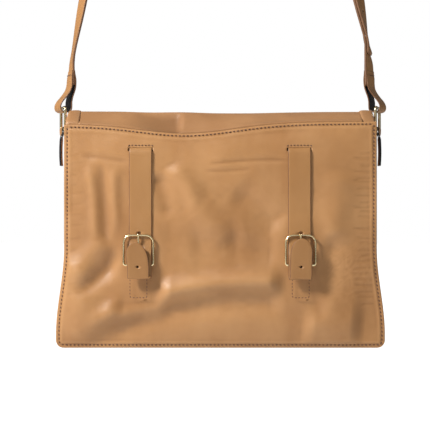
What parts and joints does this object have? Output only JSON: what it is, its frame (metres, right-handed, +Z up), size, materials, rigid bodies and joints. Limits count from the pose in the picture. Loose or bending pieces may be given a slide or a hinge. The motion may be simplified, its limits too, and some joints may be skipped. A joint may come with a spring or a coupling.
{
  "type": "sling bag",
  "caption": "Leather sling bag with a zipped top, stitched front and back on a gusset, buckled front straps and an adjustable shoulder strap on rings.",
  "frame": {"origin": "underside of the shoulder strap at the top of its arch, where it rests on what carries the bag", "axes": "+Z up along the hanging bag, -Y out of the front with the buckles, +X to the right seen from the front"},
  "size_m": [0.3706, 0.0937, 0.7284],
  "materials": {
    "bag_leather": "smooth tan leather with a soft sheen and fine grain",
    "strap_leather": "smooth tan leather strapping, slightly yellower, with a satin finish",
    "strap_lining": "black lining and edge paint on the straps and tabs",
    "lining_cloth": "dark woven lining",
    "board": "matt stiffener board",
    "zip_tape": "brown woven tape",
    "gold_metal": "polished pale gold plating",
    "thread": "dark brown waxed thread"
  },
  "bodies": {
    "shoulder_strap": {"strap_long": "strap_leather", "strap_short": "strap_leather", "strap_keeper": "strap_leather", "strap_buckle_frame": "gold_metal"},
    "strap_prong": {"strap_buckle_prong": "gold_metal"},
    "bag": {"front_panel": "bag_leather", "back_panel": "bag_leather", "gusset": "bag_leather", "lining": "lining_cloth", "base_board": "board", "left_ring_tab": "strap_leather", "right_ring_tab": "strap_leather", "left_strap_end": "strap_leather", "right_strap_end": "strap_leather", "left_closure_strap": "strap_leather", "right_closure_strap": "strap_leather", "left_buckle_tab": "strap_leather", "right_buckle_tab": "strap_leather", "zip_end_tabs": "bag_leather"},
    "left_ring": {"left_ring": "gold_metal"},
    "right_ring": {"right_ring": "gold_metal"},
    "left_tip": {"left_strap_tip": "strap_leather"},
    "right_tip": {"right_strap_tip": "strap_leather"},
    "left_frame": {"left_buckle_frame": "gold_metal"},
    "right_frame": {"right_buckle_frame": "gold_metal"},
    "left_prong": {"left_buckle_prong": "gold_metal"},
    "right_prong": {"right_buckle_prong": "gold_metal"},
    "zip_slider": {"zip_slider": "gold_metal"},
    "zip_puller": {"zip_puller": "gold_metal"},
    "front_mouth_band": {"front_zip_band": "bag_leather", "front_zip_tape": "zip_tape", "front_zip_teeth": "gold_metal"},
    "back_mouth_band": {"back_zip_band": "bag_leather", "back_zip_tape": "zip_tape", "back_zip_teeth": "gold_metal"}
  },
  "joints": [
    {"name": "bag_swing", "type": "hinge", "parent": "shoulder_strap", "child": "bag", "pos_m": [0, 0, -0.42483], "axis": [1, 0, 0], "range_deg": [-60, 60]},
    {"name": "left_ring_tilt", "type": "hinge", "parent": "bag", "child": "left_ring", "pos_m": [-0.178, 0, -0.48213], "axis": [-0.309, 0.9511, 0], "range_deg": [-1.5, 1.5]},
    {"name": "right_ring_tilt", "type": "hinge", "parent": "bag", "child": "right_ring", "pos_m": [0.178, 0, -0.48213], "axis": [0.309, 0.9511, 0], "range_deg": [-1.5, 1.5]},
    {"name": "left_tip_fold", "type": "hinge", "parent": "bag", "child": "left_tip", "pos_m": [-0.09, -0.05137, -0.64603], "axis": [1, 0, 0], "range_deg": [0, 120]},
    {"name": "left_frame_tilt", "type": "hinge", "parent": "bag", "child": "left_frame", "pos_m": [-0.09, -0.04602, -0.63383], "axis": [1, 0, 0], "range_deg": [0, 30]},
    {"name": "left_prong_tilt", "type": "hinge", "parent": "left_frame", "child": "left_prong", "pos_m": [-0.09, -0.04602, -0.63383], "axis": [1, 0, 0], "range_deg": [0, 30]},
    {"name": "right_tip_fold", "type": "hinge", "parent": "bag", "child": "right_tip", "pos_m": [0.088, -0.05142, -0.64603], "axis": [1, 0, 0], "range_deg": [0, 120]},
    {"name": "right_frame_tilt", "type": "hinge", "parent": "bag", "child": "right_frame", "pos_m": [0.088, -0.04607, -0.63383], "axis": [1, 0, 0], "range_deg": [0, 30]},
    {"name": "right_prong_tilt", "type": "hinge", "parent": "right_frame", "child": "right_prong", "pos_m": [0.088, -0.04607, -0.63383], "axis": [1, 0, 0], "range_deg": [0, 30]},
    {"name": "zip_slide", "type": "slide", "parent": "bag", "child": "zip_slider", "axis": [1, 0, 0], "range_m": [0, 0.3]},
    {"name": "zip_pull_flip", "type": "hinge", "parent": "zip_slider", "child": "zip_puller", "pos_m": [-0.15, 0, -0.46683], "axis": [0, -1, 0], "range_deg": [0, 150]},
    {"name": "front_mouth", "type": "hinge", "parent": "bag", "child": "front_mouth_band", "pos_m": [0, -0.033, -0.47883], "axis": [1, 0, 0], "range_deg": [0, 45]},
    {"name": "back_mouth", "type": "hinge", "parent": "bag", "child": "back_mouth_band", "pos_m": [0, 0.033, -0.47883], "axis": [1, 0, 0], "range_deg": [-45, 0]},
    {"name": "strap_prong_lift", "type": "hinge", "parent": "shoulder_strap", "child": "strap_prong", "pos_m": [0.13149, 0, -0.20583], "axis": [0, 1, 0], "range_deg": [0, 20]}
  ],
  "couplings": [
    {"joint": "left_frame_tilt", "follows": "left_tip_fold", "ratio": 0.25},
    {"joint": "left_prong_tilt", "follows": "left_tip_fold", "ratio": 0.25},
    {"joint": "right_frame_tilt", "follows": "right_tip_fold", "ratio": 0.25},
    {"joint": "right_prong_tilt", "follows": "right_tip_fold", "ratio": 0.25},
    {"joint": "back_mouth", "follows": "front_mouth", "ratio": -1}
  ]
}
